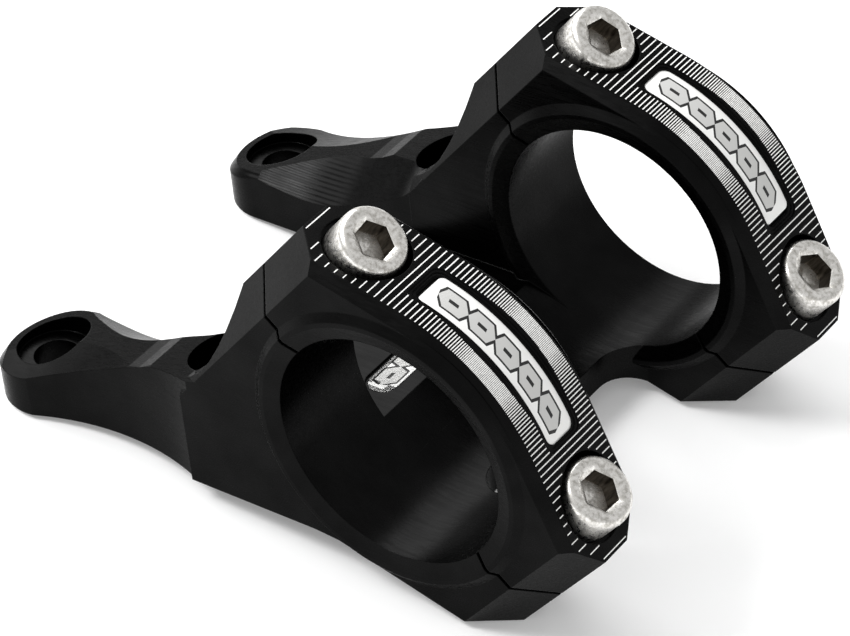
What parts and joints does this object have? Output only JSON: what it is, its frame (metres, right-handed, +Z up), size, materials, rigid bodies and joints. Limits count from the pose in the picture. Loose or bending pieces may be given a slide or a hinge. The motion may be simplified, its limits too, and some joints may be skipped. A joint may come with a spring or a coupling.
{
  "type": "direct-mount handlebar stem",
  "caption": "Short machined handlebar stem for a dual-crown fork: two sloping arms joined by a bridge, with two separate bar clamps closed by bolted faceplates.",
  "frame": {"origin": "centre of the rectangle of crown bolt holes, on the face that sits on the fork crown", "axes": "+X forward to the handlebar, +Y to the rider's left along the bar, +Z up along the crown bolts"},
  "size_m": [0.1056, 0.072, 0.0575],
  "materials": {
    "anodised_body": "machined and black anodised, satin",
    "anodised_plate": "machined, black anodised, laser-etched white lines and a silver badge",
    "stainless": "stainless, tumbled"
  },
  "bodies": {
    "stem": {"stem_body": "anodised_body"},
    "left_plate": {"left_faceplate": "anodised_plate"},
    "right_plate": {"right_faceplate": "anodised_plate"},
    "left_upper_screw_turning": {"left_upper_screw": "stainless"},
    "left_lower_screw_turning": {"left_lower_screw": "stainless"},
    "right_upper_screw_turning": {"right_upper_screw": "stainless"},
    "right_lower_screw_turning": {"right_lower_screw": "stainless"}
  },
  "joints": [
    {"name": "left_plate_lift", "type": "slide", "parent": "stem", "child": "left_plate", "axis": [0.6561, 0, 0.7547], "range_m": [0, 0.0075]},
    {"name": "right_plate_lift", "type": "slide", "parent": "stem", "child": "right_plate", "axis": [0.6561, 0, 0.7547], "range_m": [0, 0.0075]},
    {"name": "left_upper_screw_turn", "type": "hinge", "parent": "left_plate", "child": "left_upper_screw_turning", "pos_m": [0.04101, 0.0269, 0.04225], "axis": [0.6561, 0, 0.7547], "range_deg": [0, 2700]},
    {"name": "left_lower_screw_turn", "type": "hinge", "parent": "left_plate", "child": "left_lower_screw_turning", "pos_m": [0.07361, 0.0269, 0.01391], "axis": [0.6561, 0, 0.7547], "range_deg": [0, 2700]},
    {"name": "right_upper_screw_turn", "type": "hinge", "parent": "right_plate", "child": "right_upper_screw_turning", "pos_m": [0.04101, -0.0269, 0.04225], "axis": [0.6561, 0, 0.7547], "range_deg": [0, 2700]},
    {"name": "right_lower_screw_turn", "type": "hinge", "parent": "right_plate", "child": "right_lower_screw_turning", "pos_m": [0.07361, -0.0269, 0.01391], "axis": [0.6561, 0, 0.7547], "range_deg": [0, 2700]}
  ],
  "couplings": [
    {"joint": "left_upper_screw_turn", "follows": "left_plate_lift", "rad_per_m": 6283.2},
    {"joint": "left_lower_screw_turn", "follows": "left_plate_lift", "rad_per_m": 6283.2},
    {"joint": "right_upper_screw_turn", "follows": "right_plate_lift", "rad_per_m": 6283.2},
    {"joint": "right_lower_screw_turn", "follows": "right_plate_lift", "rad_per_m": 6283.2}
  ]
}
